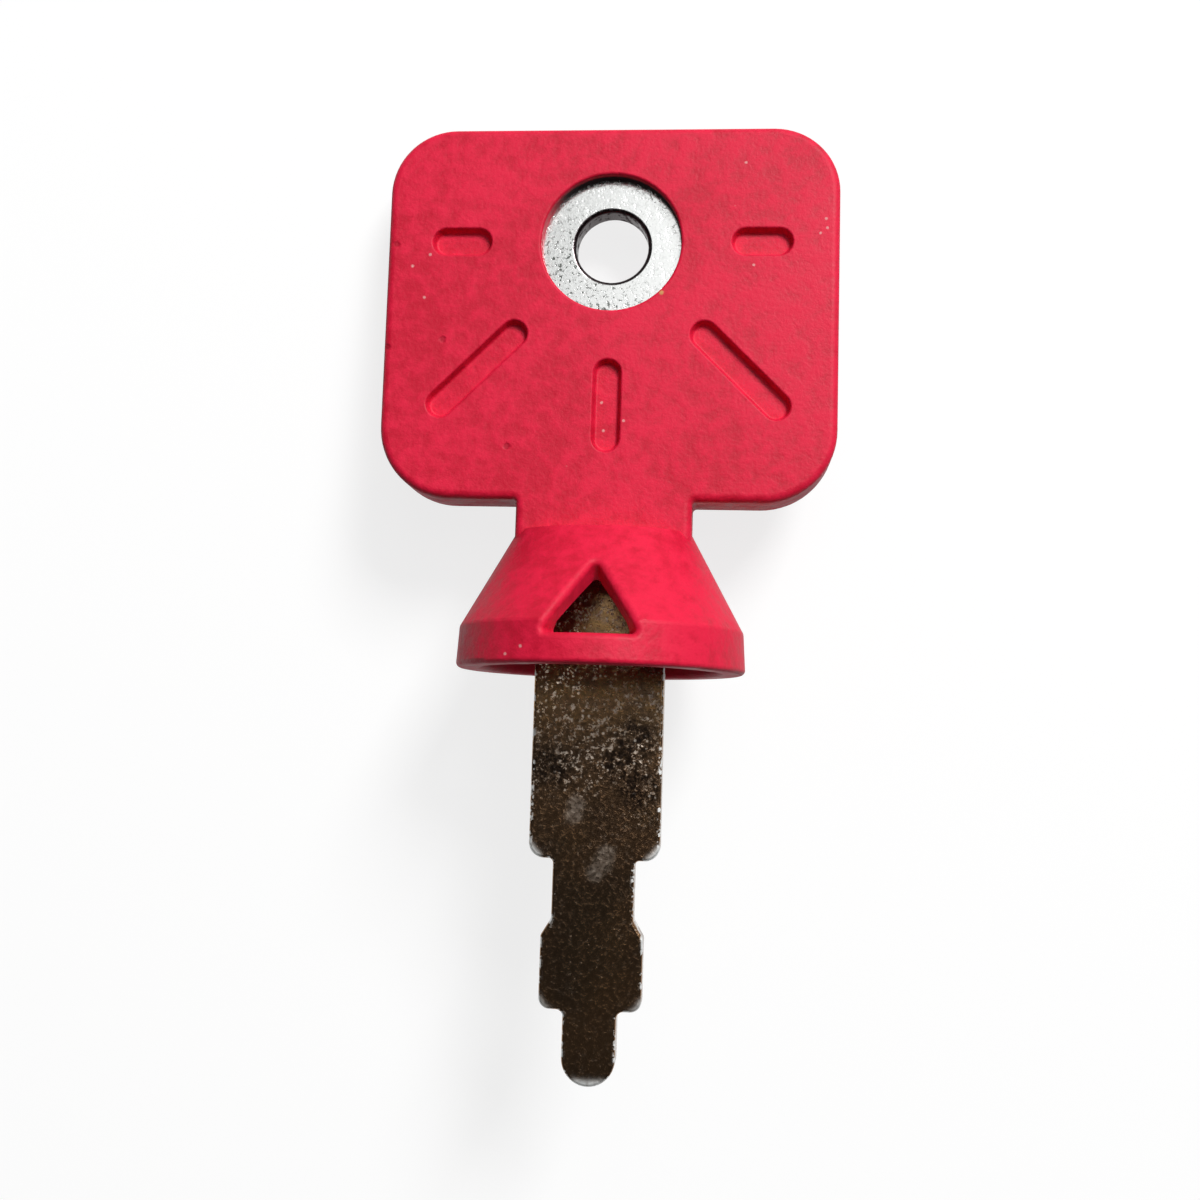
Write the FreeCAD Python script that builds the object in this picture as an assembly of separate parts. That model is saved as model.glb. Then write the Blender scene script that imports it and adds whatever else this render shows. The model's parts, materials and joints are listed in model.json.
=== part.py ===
import FreeCAD, Part
import math
import os

V = FreeCAD.Vector

# Ignition key of a ride-on mower: a stamped steel blade with a moulded head round it.
# Modelling frame: origin in the middle of the ring hole, X across the key,
# +Y towards the head end, Z out of the front face. The key is laid down at the end.

# Head plate
plate_w = 33.5
plate_h = 28.15
plate_t = 4.1
plate_r_top = 4.9
plate_r_bottom = 5.4
edge_r = 0.6
hole_to_end = 8.8

# Round recess that shows the steel eye
recess_r = 5.2
recess_draft = 3.0
recess_edge_r = 0.2

# Debossed rays, fanned round the ring hole below it and level with it
ray_gap = 3.67
ray_w = 2.1
ray_depth = 0.7
ray_draft = 16.0
ray_edge_r = 0.15
ray_floor_r = 0.2
side_ray_len = 4.5
slant_ray_len = 9.6
middle_ray_len = 6.95
ray_turn = 45.0

# Neck
neck_w = 12.85
neck_len = 2.2
neck_corner_r = 0.3
neck_sunk = 1.8

# Flared round skirt with its rim band, which tapers a little up to the shoulder
skirt_top_d = 8.5
flare_h = 7.2
band_h = 2.95
band_r = 10.5
band_taper = 0.18
band_edge_r = 0.35

# Hollow under the skirt, like a bell round the steel
skirt_wall = 1.8
roof_drop = 2.6
roof_edge_r = 0.4

# Triangular windows through the wall of the skirt, apex towards the head. Height and
# width are those at the level of the rim band, and the sill is counted up from the rim.
window_sill = 2.05
window_h = 8.95
window_w = 7.0
window_draft = 18.0
window_corner_r = 0.25

# One radius rounds the shoulder of the skirt and the mouths of the windows
soft_r = 0.45

# Steel blade: eye and ring hole in the head
steel_t = 1.9
hole_r = 2.7
hole_edge_r = 0.3
eye_grip = 1.1
eye_root_r = 1.5
steel_edge_r = 0.2

# Steel blade: steps that stand out of the skirt, each length counted on from the last
shank_w = 9.4
shank_out = 13.4
shank_corner_r = 1.1
waist_w = 5.85
waist_len = 4.2
waist_corner_r = 0.35
ramp_len = 1.2
ramp_r = 0.5
lobe_w = 7.3
lobe_len = 5.1
lobe_corner_r = 0.8
tip_w = 3.8
tip_len = 5.2
tip_corner_r = 0.5

# Cutters run this far past the face that they open
cut_over = 0.5

# Densities in g per cubic mm, used only to find where the key balances
steel_density = 0.00785
plastic_density = 0.0012

# Sizes and levels along the key that follow from the ones above
plate_bottom = hole_to_end - plate_h
skirt_top = plate_bottom - neck_len
flare_end = skirt_top - flare_h
skirt_bottom = flare_end - band_h
shank_end = skirt_bottom - shank_out
waist_end = shank_end - waist_len
lobe_start = waist_end - ramp_len
lobe_end = lobe_start - lobe_len
tip_end = lobe_end - tip_len
flare_r = band_r - band_taper
eye_r = recess_r + eye_grip
ray_start = recess_r + ray_gap
rays = (
    (180.0, side_ray_len),
    (270.0 - ray_turn, slant_ray_len),
    (270.0, middle_ray_len),
    (270.0 + ray_turn, slant_ray_len),
    (0.0, side_ray_len),
)


def rounded_outline(points, z=0.0):
    # Closed wire from (x, y, corner radius) points, corners turned into tangent arcs
    n = len(points)
    starts = []
    ends = []
    arcs = []
    for i in range(n):
        x, y, r = points[i]
        p = V(x, y, z)
        if r <= 0.0:
            starts.append(p)
            ends.append(p)
            arcs.append(None)
            continue
        before = V(points[i - 1][0], points[i - 1][1], z)
        after = V(points[(i + 1) % n][0], points[(i + 1) % n][1], z)
        to_before = (before - p).normalize()
        to_after = (after - p).normalize()
        half = to_before.getAngle(to_after) / 2.0
        back = r / math.tan(half)
        inward = (to_before + to_after).normalize()
        middle = p + inward * (r / math.sin(half) - r)
        starts.append(p + to_before * back)
        ends.append(p + to_after * back)
        arcs.append(Part.Arc(starts[-1], middle, ends[-1]).toShape())
    edges = []
    for i in range(n):
        if arcs[i] is not None:
            edges.append(arcs[i])
        a = ends[i]
        b = starts[(i + 1) % n]
        if a.distanceToPoint(b) > 1e-4:
            edges.append(Part.makeLine(a, b))
    return Part.Wire(edges)


def slab(wire, z0, z1):
    # Flat solid between two levels from an outline drawn at z = 0
    shape = Part.Face(wire).extrude(V(0, 0, z1 - z0))
    shape.translate(V(0, 0, z0))
    return shape


def through_hole(radius, thickness):
    # Cylinder through the ring hole's place that stands out of both faces
    length = thickness + 2.0 * cut_over
    return Part.makeCylinder(radius, length, V(0, 0, -length / 2.0))


def edges_at(shape, axis, level):
    # Edges that lie wholly at one level of x, y or z
    found = []
    for e in shape.Edges:
        values = [getattr(p, axis) for p in e.discretize(5)]
        if max(values) - min(values) < 1e-6 and abs(values[0] - level) < 1e-6:
            found.append(e)
    return found


def edges_on_faces(shape, half_thickness):
    # Edges that lie wholly in the front or the back face
    return edges_at(shape, "z", half_thickness) + edges_at(shape, "z", -half_thickness)


def reach(edge):
    # Nearest and farthest distance of an edge from the ring hole's axis
    d = [math.hypot(p.x, p.y) for p in edge.discretize(9)]
    return min(d), max(d)


def both_sides(cutter):
    # A cutter for the front together with its mirror image for the back
    return [cutter, cutter.mirror(V(0, 0, 0), V(0, 0, 1))]


def steel_blade():
    s = shank_w / 2.0
    w = waist_w / 2.0
    b = lobe_w / 2.0
    t = tip_w / 2.0
    face = steel_t / 2.0
    right = [
        (s, 0.0, 0.0),
        (s, shank_end, shank_corner_r),
        (w, shank_end, waist_corner_r),
        (w, waist_end, ramp_r),
        (b, lobe_start, ramp_r),
        (b, lobe_end, lobe_corner_r),
        (t, lobe_end, tip_corner_r),
        (t, tip_end, t),
    ]
    left = [(-x, y, r) for x, y, r in reversed(right)]
    blank = slab(rounded_outline(right + left), -face, face)
    eye = Part.makeCylinder(eye_r, steel_t, V(0, 0, -face))
    blank = blank.fuse(eye).removeSplitter()

    # Soft inside corners where the round eye runs into the shank
    root_y = -math.sqrt(eye_r ** 2 - s ** 2)
    roots = []
    for e in edges_at(blank, "y", root_y):
        if abs(e.Length - steel_t) < 1e-6 and abs(abs(e.CenterOfMass.x) - s) < 1e-6:
            roots.append(e)
    blank = blank.makeFillet(eye_root_r, roots)

    # Punched ring hole with softened rims, then the tumbled outer edges
    blank = blank.cut(through_hole(hole_r, steel_t))
    rims = [e for e in edges_on_faces(blank, face) if reach(e)[1] < hole_r + 1e-3]
    blank = blank.makeFillet(hole_edge_r, rims)
    rim_r = hole_r + hole_edge_r
    outer = [e for e in edges_on_faces(blank, face) if reach(e)[0] > rim_r + 1e-3]
    return blank.makeFillet(steel_edge_r, outer)


def ray_cutter(angle, length):
    # Stadium pocket with drafted walls, its long axis radial from the ring hole
    slope = math.tan(math.radians(ray_draft))
    top_r = ray_w / 2.0
    inner = ray_start + top_r
    outer = ray_start + length - top_r
    face = plate_t / 2.0

    def stadium(r, z):
        a = V(inner, -r, z)
        b = V(outer, -r, z)
        c = V(outer, r, z)
        d = V(inner, r, z)
        return Part.Wire([
            Part.makeLine(a, b),
            Part.Arc(b, V(outer + r, 0, z), c).toShape(),
            Part.makeLine(c, d),
            Part.Arc(d, V(inner - r, 0, z), a).toShape(),
        ])

    floor = stadium(top_r - ray_depth * slope, face - ray_depth)
    mouth = stadium(top_r + cut_over * slope, face + cut_over)
    cutter = Part.makeLoft([floor, mouth], True, True)
    cutter = cutter.makeFillet(ray_floor_r, edges_at(cutter, "z", face - ray_depth))
    cutter.rotate(V(0, 0, 0), V(0, 0, 1), angle)
    return cutter


def on_a_ray(edge):
    # True if the whole edge lies on the mouth of one ray
    for angle, length in rays:
        ux = math.cos(math.radians(angle))
        uy = math.sin(math.radians(angle))
        inside = True
        for p in edge.discretize(5):
            along = p.x * ux + p.y * uy
            aside = abs(p.y * ux - p.x * uy)
            if aside > ray_w / 2.0 + 1e-3 or along < ray_start - 1e-3 or along > ray_start + length + 1e-3:
                inside = False
        if inside:
            return True
    return False


def plate_and_neck():
    half_w = plate_w / 2.0
    half_n = neck_w / 2.0
    face = plate_t / 2.0
    # The neck runs on inside the skirt until the flare has swallowed its corners
    neck_end = skirt_top - neck_sunk
    outline = [
        (-half_w, hole_to_end, plate_r_top),
        (-half_w, plate_bottom, plate_r_bottom),
        (-half_n, plate_bottom, neck_corner_r),
        (-half_n, neck_end, 0.0),
        (half_n, neck_end, 0.0),
        (half_n, plate_bottom, neck_corner_r),
        (half_w, plate_bottom, plate_r_bottom),
        (half_w, hole_to_end, plate_r_top),
    ]
    body = slab(rounded_outline(outline), -face, face)
    rim = [e for e in edges_on_faces(body, face) if e.CenterOfMass.y > neck_end + 1e-3]
    body = body.makeFillet(edge_r, rim)

    # Recess over the eye of the blade, wider at its mouth, and the rays round it
    slope = math.tan(math.radians(recess_draft))
    depth = face - steel_t / 2.0
    floor_r = recess_r - depth * slope
    mouth_r = recess_r + cut_over * slope
    recess = Part.makeCone(floor_r, mouth_r, depth + cut_over, V(0, 0, steel_t / 2.0))
    cutters = both_sides(recess)
    for angle, length in rays:
        cutters += both_sides(ray_cutter(angle, length))
    body = body.cut(cutters)

    # Soft rims on the recess and on the rays
    recess_rims = [e for e in edges_on_faces(body, face) if reach(e)[1] < recess_r + 1e-3]
    body = body.makeFillet(recess_edge_r, recess_rims)
    ray_rims = [e for e in edges_on_faces(body, face) if on_a_ray(e)]
    return body.makeFillet(ray_edge_r, ray_rims)


def half_rings(half_width, half_depth, y):
    # Closed oval or circle across the key, as two half arcs split at the sides
    left = V(-half_width, y, 0)
    right = V(half_width, y, 0)
    front = V(0, y, half_depth)
    back = V(0, y, -half_depth)
    if abs(half_width - half_depth) < 1e-6:
        return Part.Wire([Part.Arc(right, front, left).toShape(), Part.Arc(left, back, right).toShape()])
    if half_width > half_depth:
        curve = Part.Ellipse(right, front, V(0, y, 0))
        turn = 0.0
    else:
        curve = Part.Ellipse(front, left, V(0, y, 0))
        turn = -math.pi / 2.0
    return Part.Wire([
        Part.ArcOfEllipse(curve, turn, turn + math.pi).toShape(),
        Part.ArcOfEllipse(curve, turn + math.pi, turn + 2.0 * math.pi).toShape(),
    ])


def bell(top_half_w, top_half_d, top_y, shoulder_r, rim_r, rim_y):
    # Flare from an oval to a round shoulder, then a band down to the rim
    oval = half_rings(top_half_w, top_half_d, top_y)
    shoulder = half_rings(shoulder_r, shoulder_r, flare_end)
    rim = half_rings(rim_r, rim_r, rim_y)
    flare = Part.makeLoft([oval, shoulder], True, True)
    band = Part.makeLoft([shoulder, rim], True, True)
    return flare.fuse(band).removeSplitter()


def roof_half(top_half):
    # Half size of the hollow at its roof, one wall inside the flare
    out = flare_r - top_half
    at_roof = top_half + out * roof_drop / flare_h
    return at_roof - skirt_wall * math.hypot(flare_h, out) / flare_h


def window_cutter():
    # Triangle that widens outwards, from inside the hollow out past the skirt
    z_in = roof_half(skirt_top_d / 2.0)
    z_out = band_r + cut_over
    sill = skirt_bottom + window_sill
    half = window_w / 2.0
    slant = math.hypot(half, window_h)

    def triangle(z):
        grow = (z - band_r) * math.tan(math.radians(window_draft))
        apex = sill + window_h + grow * slant / half
        corner = half + grow * slant / window_h
        return rounded_outline([
            (0.0, apex, window_corner_r),
            (-corner, sill, window_corner_r),
            (corner, sill, window_corner_r),
        ], z)

    return Part.makeLoft([triangle(z_in), triangle(z_out)], True, True)


def shared_edges(body, skin, cutter):
    # Edges of the body where the cutter's walls meet the skin
    walls = (skin.Shells[0], cutter.Shells[0])
    found = []
    for e in body.Edges:
        pts = [Part.Vertex(p) for p in e.discretize(5)[1:4]]
        if max(p.distToShape(wall)[0] for p in pts for wall in walls) < 1e-4:
            found.append(e)
    return found


def skirt():
    # Windows front and back, their mouths rounded together with the shoulder they cross
    outside = bell(neck_w / 2.0, skirt_top_d / 2.0, skirt_top, flare_r, band_r, skirt_bottom)
    cutters = both_sides(window_cutter())
    body = outside.cut(cutters)
    soft = edges_at(body, "y", flare_end)
    for cutter in cutters:
        soft += shared_edges(body, outside, cutter)
    body = body.makeFillet(soft_r, soft)

    # Hollow that the windows open into, then the soft edges of the rim
    roof_y = skirt_top - roof_drop
    hollow = bell(
        roof_half(neck_w / 2.0),
        roof_half(skirt_top_d / 2.0),
        roof_y,
        flare_r - skirt_wall,
        band_r - skirt_wall,
        skirt_bottom - cut_over,
    )
    hollow = hollow.makeFillet(roof_edge_r, edges_at(hollow, "y", roof_y))
    body = body.cut(hollow)
    return body.makeFillet(band_edge_r, edges_at(body, "y", skirt_bottom))


def plastic_head(blade):
    # One moulding round the blade, open over the eye so that a key ring can pass
    head = plate_and_neck().fuse(skirt()).removeSplitter()
    opening_r = (hole_r + hole_edge_r + recess_r) / 2.0
    return head.cut([through_hole(opening_r, plate_t), blade])


def floor_line(points, balance_y):
    # Lower hull of the side view; the key lies on the stretch under its balance point
    hull = []
    for p in sorted(points):
        while len(hull) > 1:
            ay, az = hull[-2]
            by, bz = hull[-1]
            if (by - ay) * (p[1] - az) - (bz - az) * (p[0] - ay) > 0.0:
                break
            hull.pop()
        hull.append(p)
    for (ay, az), (by, bz) in zip(hull, hull[1:]):
        if ay <= balance_y <= by:
            return ay, az, by, bz
    raise ValueError("the key doesn't balance on its own outline")


def lay_down(head, blade):
    # Back down on a floor, as a loose key comes to rest, centred over the origin
    steel_mass = blade.Volume * steel_density
    plastic_mass = head.Volume * plastic_density
    moment = blade.CenterOfGravity.y * steel_mass + head.CenterOfGravity.y * plastic_mass
    balance_y = moment / (steel_mass + plastic_mass)
    points = []
    for shape in (head, blade):
        points += [(p.y, p.z) for p in shape.tessellate(0.02)[0]]
    ay, az, by, bz = floor_line(points, balance_y)
    tilt = math.atan2(bz - az, by - ay)
    cos_t = math.cos(tilt)
    sin_t = math.sin(tilt)
    floor = az * cos_t - ay * sin_t
    along = [y * cos_t + z * sin_t for y, z in points]
    move = V(0, -(max(along) + min(along)) / 2.0, -floor)
    for shape in (head, blade):
        shape.rotate(V(0, 0, 0), V(1, 0, 0), -math.degrees(tilt))
        shape.translate(move)
    seat = V(0, skirt_bottom * cos_t, -skirt_bottom * sin_t) + move
    return tilt, move, seat


blade = steel_blade()
head = plastic_head(blade)
tilt, ring_hole, switch_seat = lay_down(head, blade)
os.makedirs("parts", exist_ok=True)
blade.exportStep("parts/blade.step")
head.exportStep("parts/head.step")
print("overall length", round(hole_to_end - tip_end, 2), "tilt in degrees", round(math.degrees(tilt), 3))
print("ring hole centre", round(ring_hole.y, 3), round(ring_hole.z, 3))
print("skirt underside centre", round(switch_seat.y, 3), round(switch_seat.z, 3))
for name, shape in (("blade", blade), ("head", head)):
    print(name, shape.isValid(), len(shape.Solids), round(shape.Volume, 2))
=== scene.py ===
import json
import math
import bpy
from mathutils import Matrix, Vector

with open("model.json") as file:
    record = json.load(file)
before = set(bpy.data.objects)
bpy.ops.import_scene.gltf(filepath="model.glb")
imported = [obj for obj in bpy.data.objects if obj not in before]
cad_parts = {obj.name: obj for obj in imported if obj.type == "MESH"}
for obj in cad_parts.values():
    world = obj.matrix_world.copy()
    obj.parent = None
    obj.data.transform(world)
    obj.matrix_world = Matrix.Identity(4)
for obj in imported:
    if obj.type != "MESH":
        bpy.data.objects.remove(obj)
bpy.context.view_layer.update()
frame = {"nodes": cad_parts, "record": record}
MM = 0.001

# Camera as solved from the outlines in the photograph, in millimetres in the part's frame
camera_place = Vector((8.339, 10.282, 108.246))
camera_look = Vector((-0.08546, -0.10792, -0.99048))
camera_up = Vector((-0.02121, 0.99409, -0.10648))
camera_lens = 40.87
camera_sensor = 36.0

# Table and room
table_size = 3.0
table_paint = (0.22, 0.22, 0.22, 1.0)
table_glow = 0.80
room_light = 0.07
horizon_light = 1.0
horizon_top = 0.16

# Lamps, sizes in metres and angles in degrees: polar from overhead, turn to the right of +Y
key_watts = 9.0
key_size = 0.28
key_distance = 0.90
key_polar = 51.0
key_turn = 30.0
panel_watts = 0.95
panel_size = 0.50
panel_distance = 0.70
panel_polar = 35.0
panel_turn = 20.0

# Colours of the plastic, linear
red_deep = (0.52, 0.0050, 0.028, 1.0)
red_full = (0.70, 0.0100, 0.048, 1.0)
dust_pale = (0.72, 0.40, 0.38, 1.0)
scuff_dark = (0.25, 0.002, 0.012, 1.0)
# Painted shade for the foot of the recess wall
shade_black = (0.012, 0.002, 0.003, 1.0)
dirt_yellow = (0.55, 0.38, 0.12, 1.0)

# Colours of the steel, linear
nickel_bright = (0.72, 0.73, 0.72, 1.0)
nickel_pitted = (0.12, 0.13, 0.12, 1.0)
# Painted shade inside the eye hole's bore
bore_shade_dark = (0.045, 0.032, 0.034, 1.0)
tarnish_brown = (0.24, 0.14, 0.075, 1.0)
tarnish_dark = (0.17, 0.105, 0.062, 1.0)
# Painted reflection of the red skirt on the blade next to it
skirt_reflection_gold = (0.33, 0.19, 0.075, 1.0)
burnt_black = (0.030, 0.022, 0.020, 1.0)
fleck_pale = (0.85, 0.76, 0.66, 1.0)
smudge_grey = (0.50, 0.52, 0.50, 1.0)

# Places on the key in millimetres: across, and along towards the head from the ring hole
plate_dust = (
    (-14.8, -1.9), (-13.8, -4.3), (-13.5, -1.0), (15.3, 0.6), (15.8, 1.0), (15.7, 1.7),
    (9.8, 6.0), (10.5, -1.8), (-0.4, -12.0), (-0.2, -14.1), (1.3, -13.5), (-5.7, -31.1), (-4.6, -30.6),
)
plate_scuffs = ((-16.1, -0.2), (-16.4, -8.1), (-12.3, -7.5), (-7.2, -15.5))
yellow_fleck = (3.8, -3.9)
blade_smudges = ((-1.5, -42.0), (-1.4, -41.2), (0.6, -45.3), (0.1, -46.0), (0.9, -44.7))
dark_patches = ((1.9, -38.4), (3.1, -40.0), (2.6, -36.6), (-3.4, -38.6))

# Painted highlights at the blade's rounded corners, and the centres of their rounding
corner_highlight_spots = ((-4.5, -44.8), (4.5, -44.8), (-3.5, -55.4), (3.5, -55.4), (-0.6, -60.8), (0.6, -60.8))
corner_middles = ((-3.5, -43.9), (3.5, -43.9), (-2.6, -54.6), (2.6, -54.6), (-0.5, -59.4), (0.5, -59.4))

# Half width of the blade at the shank, and where along the key it changes and by how much
shank_half = 4.70
blade_steps = ((-45.1, -1.775), (-50.0, 0.725), (-55.6, -1.75))

# Where the blade's plating turns from bright at the eye to tarnished, along the key
bright_from = -12.0
bright_full = -6.5

# Height out of the key's middle above which a face counts as its front
front_level = 0.6

# Patterns on the plastic: repeats per millimetre
cloud_scale = 0.10
mottle_scale = 0.9
grain_scale = 3.4
ragged_scale = 3.0

# Marks on the plastic: radius in millimetres and strength
dust_radius = 0.15
dust_strength = 0.65
scuff_radius = 0.34
scuff_strength = 0.55
fleck_radius = 0.22
fleck_strength = 0.7
stray_scale = 0.24
stray_size = 0.030
stray_share = 0.35
stray_strength = 0.5

# Painted shade, black, on the wall of the ring's recess, by height out of the key's middle, radius and lean
# to the head
shade_top = 1.75
shade_foot = 1.45
shade_outside = 5.6
shade_inside = 5.4
shade_from = -0.5
shade_full = 2.5

# Surface of the plastic
plastic_smoothest = 0.48
plastic_roughest = 0.60
plastic_specular = 0.24
plastic_bump = 0.9
plastic_depth = 0.085
seam_edge = 0.10
seam_core = 0.03

# Surface of the steel, and its marks in millimetres
steel_smoothest = 0.15
steel_roughest = 0.25
steel_bump = 0.5
steel_depth = 0.03
# Widths of the painted highlight band inside the blade's outline, and sizes of the painted corner highlights
highlight_edge = 0.34
highlight_core = 0.14
corner_highlight_radius = 1.15
middle_radius = 1.25
patch_radius = 2.2
patch_strength = 0.85
smudge_radius = 0.95
smudge_strength = 0.26
# Radii between which the eye hole's bore is painted dark as shade
hole_wall_outside = 3.02
hole_wall_inside = 2.90

ring_hole = next(m for m in frame["record"]["mounts"] if m["name"] == "ring_hole")
ring_centre = Vector(ring_hole["pos_m"])
key_front = Vector(ring_hole["axis"])
key_tilt = math.atan2(key_front.y, key_front.z)


def group(name, inputs, outputs):
    # A shader node group with named sockets; the kinds are Vector, Float and Color
    tree = bpy.data.node_groups.new(name, "ShaderNodeTree")
    for side, sockets in (("INPUT", inputs), ("OUTPUT", outputs)):
        for label, kind, value in sockets:
            s = tree.interface.new_socket(name=label, in_out=side, socket_type="NodeSocket" + kind)
            if value is not None:
                s.default_value = value
    return tree, tree.nodes.new("NodeGroupInput"), tree.nodes.new("NodeGroupOutput")


def node(tree, kind, **settings):
    n = tree.nodes.new("ShaderNode" + kind)
    for key, value in settings.items():
        setattr(n, key, value)
    return n


def feed(tree, target, value):
    # Links a socket into an input, or sets the input to a plain value
    if isinstance(value, bpy.types.NodeSocket):
        tree.links.new(value, target)
    else:
        target.default_value = value


def calc(tree, operation, a, b=0.0, clamp=False):
    n = node(tree, "Math", operation=operation, use_clamp=clamp)
    feed(tree, n.inputs[0], a)
    feed(tree, n.inputs[1], b)
    return n.outputs[0]


def ramp(tree, value, low, high, out_low=0.0, out_high=1.0):
    # Smooth change from out_low to out_high while the value goes from low to high
    n = node(tree, "MapRange", interpolation_type="SMOOTHSTEP")
    feed(tree, n.inputs["Value"], value)
    feed(tree, n.inputs["From Min"], low)
    feed(tree, n.inputs["From Max"], high)
    feed(tree, n.inputs["To Min"], out_low)
    feed(tree, n.inputs["To Max"], out_high)
    return n.outputs["Result"]


def blend(tree, share, a, b):
    # Colour a where the share is 0, colour b where it is 1
    n = node(tree, "MixRGB")
    feed(tree, n.inputs["Fac"], share)
    feed(tree, n.inputs["Color1"], a)
    feed(tree, n.inputs["Color2"], b)
    return n.outputs["Color"]


def noise(tree, where, scale, detail=2.0, roughness=0.5):
    n = node(tree, "TexNoise")
    feed(tree, n.inputs["Vector"], where)
    feed(tree, n.inputs["Scale"], scale)
    n.inputs["Detail"].default_value = detail
    n.inputs["Roughness"].default_value = roughness
    return n.outputs["Fac"]


def bump(tree, shader, height, strength, depth):
    n = node(tree, "Bump")
    n.inputs["Strength"].default_value = strength
    n.inputs["Distance"].default_value = depth * MM
    feed(tree, n.inputs["Height"], height)
    feed(tree, shader.inputs["Normal"], n.outputs["Normal"])


def key_place(tree):
    # Place on the key in millimetres from the ring hole: across, along, out of the front
    n = node(tree, "Mapping", vector_type="TEXTURE")
    feed(tree, n.inputs["Vector"], node(tree, "TexCoord").outputs["Object"])
    n.inputs["Location"].default_value = ring_centre
    n.inputs["Rotation"].default_value = (-key_tilt, 0.0, 0.0)
    n.inputs["Scale"].default_value = (MM, MM, MM)
    return n.outputs["Vector"]


def specks_group():
    # Small round specks: dust on the plastic, pits and bright flecks on the steel
    tree, given, made = group(
        "specks",
        [("Place", "Vector", None), ("Scale", "Float", 1.0), ("Size", "Float", 0.3), ("Share", "Float", 0.3)],
        [("Mask", "Float", None)],
    )
    cells = node(tree, "TexVoronoi")
    feed(tree, cells.inputs["Vector"], given.outputs["Place"])
    feed(tree, cells.inputs["Scale"], given.outputs["Scale"])
    pick = node(tree, "SeparateColor")
    feed(tree, pick.inputs[0], cells.outputs["Color"])
    kept = calc(tree, "LESS_THAN", pick.outputs[0], given.outputs["Share"])
    edge = calc(tree, "MULTIPLY", given.outputs["Size"], 0.3)
    inside = ramp(tree, cells.outputs["Distance"], given.outputs["Size"], edge)
    feed(tree, made.inputs["Mask"], calc(tree, "MULTIPLY", inside, kept))
    return tree


def spot_group():
    # One mark at a chosen place on the front, ragged by the noise in Wander
    tree, given, made = group(
        "spot",
        [
            ("Place", "Vector", None),
            ("Centre", "Vector", None),
            ("Radius", "Float", 0.2),
            ("Wander", "Float", 0.5),
        ],
        [("Mask", "Float", None)],
    )
    away = node(tree, "VectorMath", operation="DISTANCE")
    feed(tree, away.inputs[0], given.outputs["Place"])
    feed(tree, away.inputs[1], given.outputs["Centre"])
    ragged = calc(tree, "MULTIPLY", away.outputs["Value"], calc(tree, "ADD", given.outputs["Wander"], 0.5))
    core = calc(tree, "MULTIPLY", given.outputs["Radius"], 0.35)
    feed(tree, made.inputs["Mask"], ramp(tree, ragged, given.outputs["Radius"], core))
    return tree


def use(tree, shared, **values):
    n = node(tree, "Group", node_tree=shared)
    for label, value in values.items():
        feed(tree, n.inputs[label], value)
    return n.outputs["Mask"]


specks = specks_group()
spot = spot_group()


def marks(tree, flat_place, centres, radius, wander):
    # One mask for several spots at named places
    mask = 0.0
    for across, along in centres:
        one = use(tree, spot, Place=flat_place, Centre=(across, along, 0.0), Radius=radius, Wander=wander)
        mask = calc(tree, "MAXIMUM", one, mask)
    return mask


def on_front(tree, place, level):
    # Mask of what lies on the front half, and the place with its height taken off
    axes = node(tree, "SeparateXYZ")
    feed(tree, axes.inputs[0], place)
    flat = node(tree, "CombineXYZ")
    feed(tree, flat.inputs["X"], axes.outputs["X"])
    feed(tree, flat.inputs["Y"], axes.outputs["Y"])
    return ramp(tree, axes.outputs["Z"], level - 0.2, level), flat.outputs[0], axes


def material(name):
    m = bpy.data.materials.new(name)
    m.use_nodes = True
    tree = m.node_tree
    return m, tree, tree.nodes["Principled BSDF"], key_place(tree)


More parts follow.
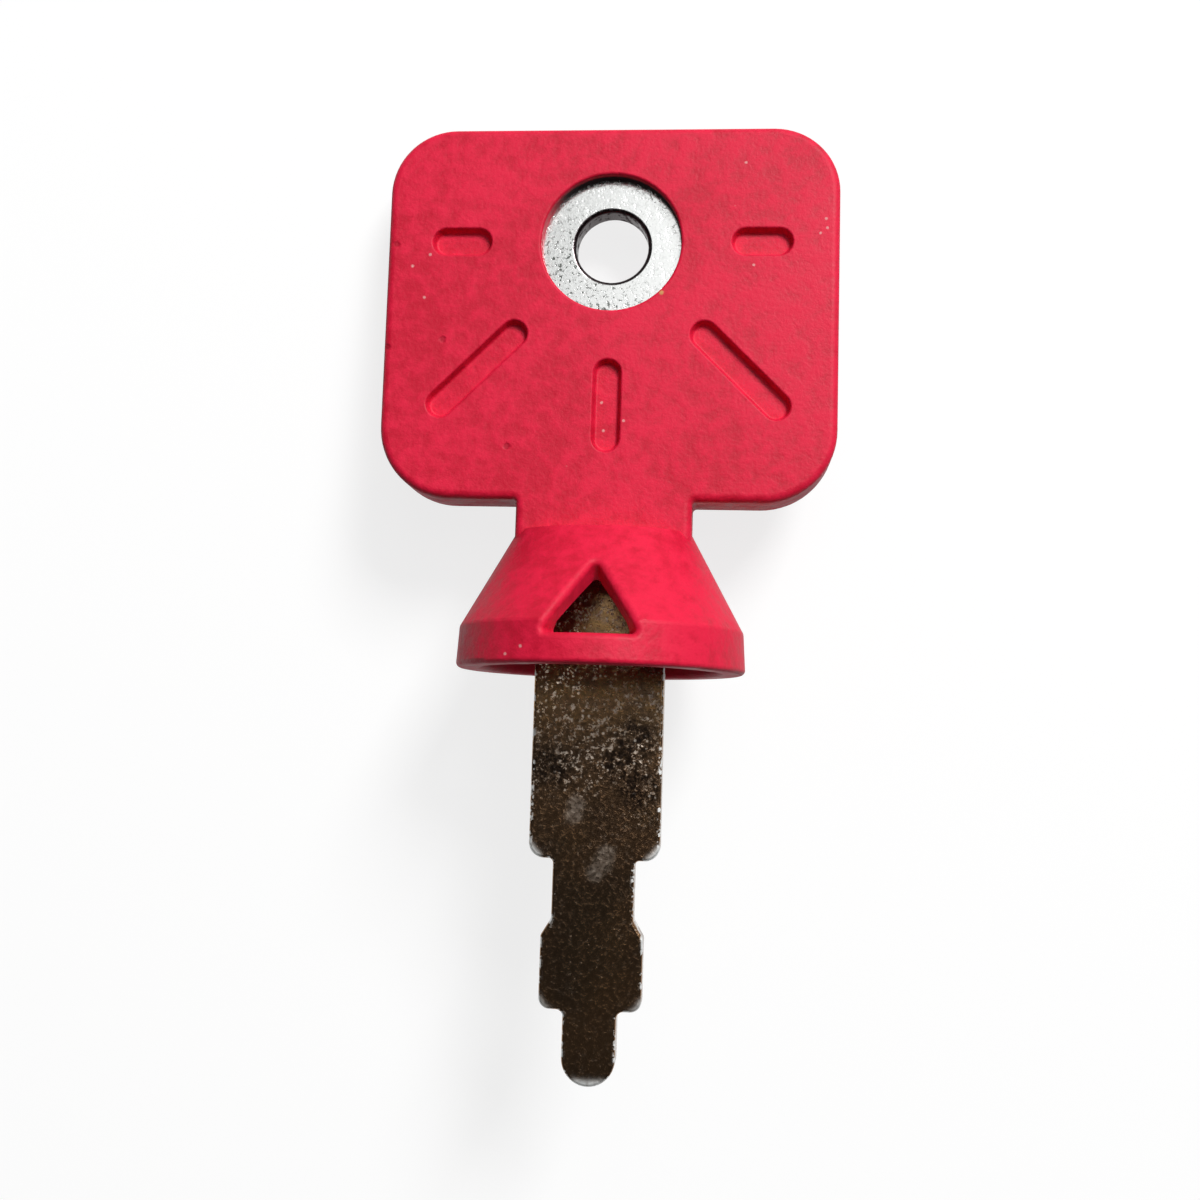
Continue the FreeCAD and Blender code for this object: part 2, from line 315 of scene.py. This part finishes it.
def moulded_red():
    m, tree, shader, place = material("moulded_red")
    front, flat, axes = on_front(tree, place, front_level)
    cloud = noise(tree, place, cloud_scale, 3.0)
    mottle = noise(tree, place, mottle_scale, 4.0, 0.65)
    grain = noise(tree, place, grain_scale, 3.0, 0.6)
    tone = calc(tree, "ADD", calc(tree, "MULTIPLY", cloud, 0.35), calc(tree, "MULTIPLY", mottle, 0.65))
    red = blend(tree, ramp(tree, tone, 0.36, 0.62), red_deep, red_full)

    # Dust, rubbed-in scuffs and one fleck of yellow dirt at the recess
    ragged = noise(tree, place, ragged_scale, 2.0)
    dust = marks(tree, flat, plate_dust, dust_radius, ragged)
    stray = use(tree, specks, Place=place, Scale=stray_scale, Size=stray_size, Share=stray_share)
    stray = calc(tree, "MULTIPLY", stray, stray_strength)
    dust = calc(tree, "MAXIMUM", calc(tree, "MULTIPLY", dust, front), stray)
    colour = blend(tree, calc(tree, "MULTIPLY", dust, dust_strength), red, dust_pale)
    scuffs = calc(tree, "MULTIPLY", marks(tree, flat, plate_scuffs, scuff_radius, ragged), front)
    colour = blend(tree, calc(tree, "MULTIPLY", scuffs, scuff_strength), colour, scuff_dark)
    fleck = calc(tree, "MULTIPLY", marks(tree, flat, (yellow_fleck,), fleck_radius, ragged), front)
    colour = blend(tree, calc(tree, "MULTIPLY", fleck, fleck_strength), colour, dirt_yellow)

    # Painted shade: black at the foot of the recess wall, thickest away from the skirt, where the key light's
    # shadow falls
    spread = node(tree, "VectorMath", operation="LENGTH")
    feed(tree, spread.inputs[0], flat)
    lean = calc(tree, "ADD", axes.outputs["Y"], calc(tree, "MULTIPLY", axes.outputs["X"], 0.5))
    painted_shade = ramp(tree, calc(tree, "ABSOLUTE", axes.outputs["Z"]), shade_top, shade_foot)
    wall = ramp(tree, spread.outputs["Value"], shade_outside, shade_inside)
    painted_shade = calc(tree, "MULTIPLY", painted_shade, wall)
    painted_shade = calc(tree, "MULTIPLY", painted_shade, ramp(tree, lean, shade_from, shade_full))
    colour = blend(tree, painted_shade, colour, shade_black)
    feed(tree, shader.inputs["Base Color"], colour)
    rough = ramp(tree, mottle, 0.3, 0.7, plastic_smoothest, plastic_roughest)
    feed(tree, shader.inputs["Roughness"], rough)
    shader.inputs["Specular IOR Level"].default_value = plastic_specular

    # Fine moulded grain, and the mould's parting line round the sides
    seam = ramp(tree, calc(tree, "ABSOLUTE", axes.outputs["Z"]), seam_edge, seam_core)
    height = calc(tree, "ADD", calc(tree, "MULTIPLY", mottle, 0.6), calc(tree, "MULTIPLY", grain, 0.4))
    height = calc(tree, "ADD", height, calc(tree, "MULTIPLY", seam, 0.5))
    height = calc(tree, "SUBTRACT", height, calc(tree, "MULTIPLY", scuffs, 0.6))
    bump(tree, shader, height, plastic_bump, plastic_depth)
    return m


def outline_half(tree, along):
    # Half width of the blade at a place along it, stepping from shank to waist, lobe and tip
    half = shank_half
    for at, change in blade_steps:
        half = calc(tree, "ADD", ramp(tree, along, at + 0.1, at - 0.1, 0.0, change), half)
    return half


def plated_steel():
    m, tree, shader, place = material("plated_steel")
    front, flat, axes = on_front(tree, place, front_level)
    bright = ramp(tree, axes.outputs["Y"], bright_from, bright_full)
    cloud = noise(tree, place, 0.22, 3.0)
    fine = noise(tree, place, 3.0, 3.0, 0.7)
    coarse = noise(tree, place, 1.1, 3.0, 0.6)

    # Worn rim: everything that isn't one of the two flat faces, broken into dashes, joined with painted
    # highlights along the outline and at the corners
    turned = node(tree, "VectorMath", operation="DOT_PRODUCT")
    feed(tree, turned.inputs[0], node(tree, "TexCoord").outputs["Normal"])
    turned.inputs[1].default_value = key_front
    wear_and_highlight = ramp(tree, calc(tree, "ABSOLUTE", turned.outputs["Value"]), 0.995, 0.90)
    dashes = ramp(tree, noise(tree, place, 1.6, 2.0, 0.7), 0.50, 0.60, 0.0, 1.0)
    across = calc(tree, "ABSOLUTE", axes.outputs["X"])
    half = outline_half(tree, axes.outputs["Y"])
    # Painted highlight: a band just inside the blade's outline, from below the skirt's shadow, weaker towards
    # the tip
    border_highlight = ramp(tree, calc(tree, "SUBTRACT", half, across), highlight_edge, highlight_core)
    border_highlight = calc(tree, "MULTIPLY", border_highlight, ramp(tree, axes.outputs["Y"], -34.5, -36.5))
    border_highlight = calc(tree, "MULTIPLY", border_highlight, ramp(tree, axes.outputs["Y"], -52.0, -44.0, 0.25, 1.0))
    inner = marks(tree, flat, corner_middles, middle_radius, 0.5)
    # Painted highlights at the rounded corners, hollowed at the centres of their rounding
    corner_highlights = calc(tree, "MULTIPLY", marks(tree, flat, corner_highlight_spots, corner_highlight_radius, fine), front)
    corner_highlights = calc(tree, "MULTIPLY", corner_highlights, calc(tree, "SUBTRACT", 1.0, inner))
    wear_and_highlight = calc(tree, "MULTIPLY", calc(tree, "MAXIMUM", wear_and_highlight, border_highlight), dashes)
    wear_and_highlight = calc(tree, "MAXIMUM", wear_and_highlight, corner_highlights)

    # Tarnish: brown, with pale flecks and grey smudges; gold next to the skirt is a painted reflection of the
    # red skirt, broken up by noise
    skirt_reflection = ramp(tree, axes.outputs["Y"], -38.0, -31.0)
    brown = blend(tree, ramp(tree, cloud, 0.40, 0.62), tarnish_brown, tarnish_dark)
    brown = blend(tree, calc(tree, "MULTIPLY", skirt_reflection, ramp(tree, coarse, 0.35, 0.65)), brown, skirt_reflection_gold)
    crowd = ramp(tree, axes.outputs["Y"], -45.0, -37.0, 0.12, 1.0)
    crowd = calc(tree, "MULTIPLY", crowd, ramp(tree, noise(tree, place, 0.3, 1.0), 0.36, 0.56, 0.35, 1.0))
    peel = noise(tree, place, 2.6, 3.0, 0.75)
    sparks = calc(tree, "MULTIPLY", use(tree, specks, Place=place, Scale=2.6, Size=0.36, Share=0.35), 0.8)
    flecks = calc(tree, "MAXIMUM", calc(tree, "MULTIPLY", ramp(tree, peel, 0.53, 0.66), 0.7), sparks)
    flecks = calc(tree, "MULTIPLY", calc(tree, "MULTIPLY", flecks, crowd), ramp(tree, fine, 0.30, 0.60))
    burnt = marks(tree, flat, dark_patches, patch_radius, coarse)
    burnt = calc(tree, "MULTIPLY", burnt, ramp(tree, peel, 0.56, 0.44))
    brown = blend(tree, calc(tree, "MULTIPLY", burnt, patch_strength), brown, burnt_black)
    smudge = calc(tree, "MULTIPLY", marks(tree, flat, blade_smudges, smudge_radius, coarse), front)
    smudge = calc(tree, "MULTIPLY", smudge, ramp(tree, fine, 0.30, 0.70, 0.5, 1.0))
    worn = blend(tree, flecks, brown, fleck_pale)
    worn = blend(tree, calc(tree, "MULTIPLY", smudge, smudge_strength), worn, smudge_grey)

    # Bare eye: bright nickel, pitted towards its lower left
    lean = calc(tree, "ADD", axes.outputs["X"], axes.outputs["Y"])
    pit_zone = ramp(tree, calc(tree, "ADD", lean, calc(tree, "MULTIPLY", cloud, 4.0)), 5.0, -3.0, 0.15, 1.0)
    pits = calc(tree, "MULTIPLY", ramp(tree, fine, 0.53, 0.66), pit_zone)
    eye = blend(tree, pits, nickel_bright, nickel_pitted)

    # Bright nickel where the rim is worn and where highlights are painted
    colour = blend(tree, wear_and_highlight, blend(tree, bright, worn, eye), nickel_bright)
    # Painted shade: the bore of the eye hole coloured near black
    spread = node(tree, "VectorMath", operation="LENGTH")
    feed(tree, spread.inputs[0], flat)
    bore_shade = ramp(tree, spread.outputs["Value"], hole_wall_outside, hole_wall_inside)
    feed(tree, shader.inputs["Base Color"], blend(tree, bore_shade, colour, bore_shade_dark))
    shader.inputs["Metallic"].default_value = 1.0
    rough = ramp(tree, fine, 0.3, 0.7, steel_smoothest, steel_roughest)
    rough = calc(tree, "ADD", rough, calc(tree, "MULTIPLY", flecks, 0.40))
    rough = calc(tree, "ADD", rough, calc(tree, "MULTIPLY", smudge, 0.15))
    rough = calc(tree, "ADD", rough, calc(tree, "MULTIPLY", wear_and_highlight, 0.45))
    feed(tree, shader.inputs["Roughness"], rough)
    height = calc(tree, "SUBTRACT", calc(tree, "MULTIPLY", fine, 0.5), calc(tree, "MULTIPLY", flecks, 0.5))
    height = calc(tree, "SUBTRACT", height, calc(tree, "MULTIPLY", pits, 0.4))
    bump(tree, shader, height, steel_bump, steel_depth)
    return m


def dress(name, finish):
    piece = frame["nodes"][name]
    piece.data.materials.clear()
    piece.data.materials.append(finish)


def seen_rays(tree):
    # 1 where the camera looks, straight or in a reflection, and 0 for the light given back
    path = node(tree, "LightPath")
    seen = calc(tree, "ADD", path.outputs["Is Camera Ray"], path.outputs["Is Glossy Ray"])
    return calc(tree, "ADD", seen, path.outputs["Is Transmission Ray"], clamp=True)


def table_top():
    # Pale table: white to the camera and in reflections, greyer in the light it gives back
    bpy.ops.mesh.primitive_plane_add(size=table_size, location=(0.0, 0.0, 0.0))
    top = bpy.context.object
    top.name = "table_top"
    m = bpy.data.materials.new("table_white")
    m.use_nodes = True
    tree = m.node_tree
    tree.nodes.remove(tree.nodes["Principled BSDF"])
    paint = node(tree, "BsdfDiffuse")
    paint.inputs["Color"].default_value = table_paint
    glow = node(tree, "Emission")
    feed(tree, glow.inputs["Strength"], calc(tree, "MULTIPLY", seen_rays(tree), table_glow))
    both = node(tree, "AddShader")
    feed(tree, both.inputs[0], paint.outputs[0])
    feed(tree, both.inputs[1], glow.outputs[0])
    feed(tree, tree.nodes["Material Output"].inputs["Surface"], both.outputs[0])
    top.data.materials.append(m)


def room():
    # Dim grey room with a white band at the horizon, where the table ends
    world = bpy.data.worlds.new("studio_room")
    bpy.context.scene.world = world
    world.use_nodes = True
    tree = world.node_tree
    axes = node(tree, "SeparateXYZ")
    feed(tree, axes.inputs[0], node(tree, "TexCoord").outputs["Generated"])
    band = ramp(tree, axes.outputs["Z"], horizon_top, horizon_top + 0.1, horizon_light - room_light, 0.0)
    level = calc(tree, "ADD", calc(tree, "MULTIPLY", band, seen_rays(tree)), room_light)
    feed(tree, tree.nodes["Background"].inputs["Strength"], level)
    tree.nodes["Background"].inputs["Color"].default_value = (1.0, 1.0, 1.0, 1.0)


def softbox(name, watts, size, distance, polar, turn):
    # Square lamp aimed at the key
    data = bpy.data.lights.new(name, "AREA")
    data.shape = "SQUARE"
    data.size = size
    data.energy = watts
    lamp = bpy.data.objects.new(name, data)
    bpy.context.scene.collection.objects.link(lamp)
    p = math.radians(polar)
    t = math.radians(turn)
    away = Vector((math.sin(p) * math.sin(t), math.sin(p) * math.cos(t), math.cos(p)))
    lamp.location = away * distance
    lamp.rotation_mode = "QUATERNION"
    lamp.rotation_quaternion = away.to_track_quat("Z", "Y")


def camera():
    data = bpy.data.cameras.new("photo_camera")
    data.lens = camera_lens
    data.sensor_width = camera_sensor
    data.clip_start = 5.0 * MM
    data.clip_end = 10.0
    cam = bpy.data.objects.new("photo_camera", data)
    bpy.context.scene.collection.objects.link(cam)
    back = -camera_look.normalized()
    right = camera_up.cross(back).normalized()
    up = back.cross(right)
    turn = Matrix((right, up, back)).transposed()
    cam.matrix_world = Matrix.Translation(camera_place * MM) @ turn.to_4x4()
    bpy.context.scene.camera = cam


dress("head", moulded_red())
dress("blade", plated_steel())
table_top()
room()
softbox("key_light", key_watts, key_size, key_distance, key_polar, key_turn)
softbox("top_panel", panel_watts, panel_size, panel_distance, panel_polar, panel_turn)
camera()
bpy.context.scene.view_settings.view_transform = "Standard"
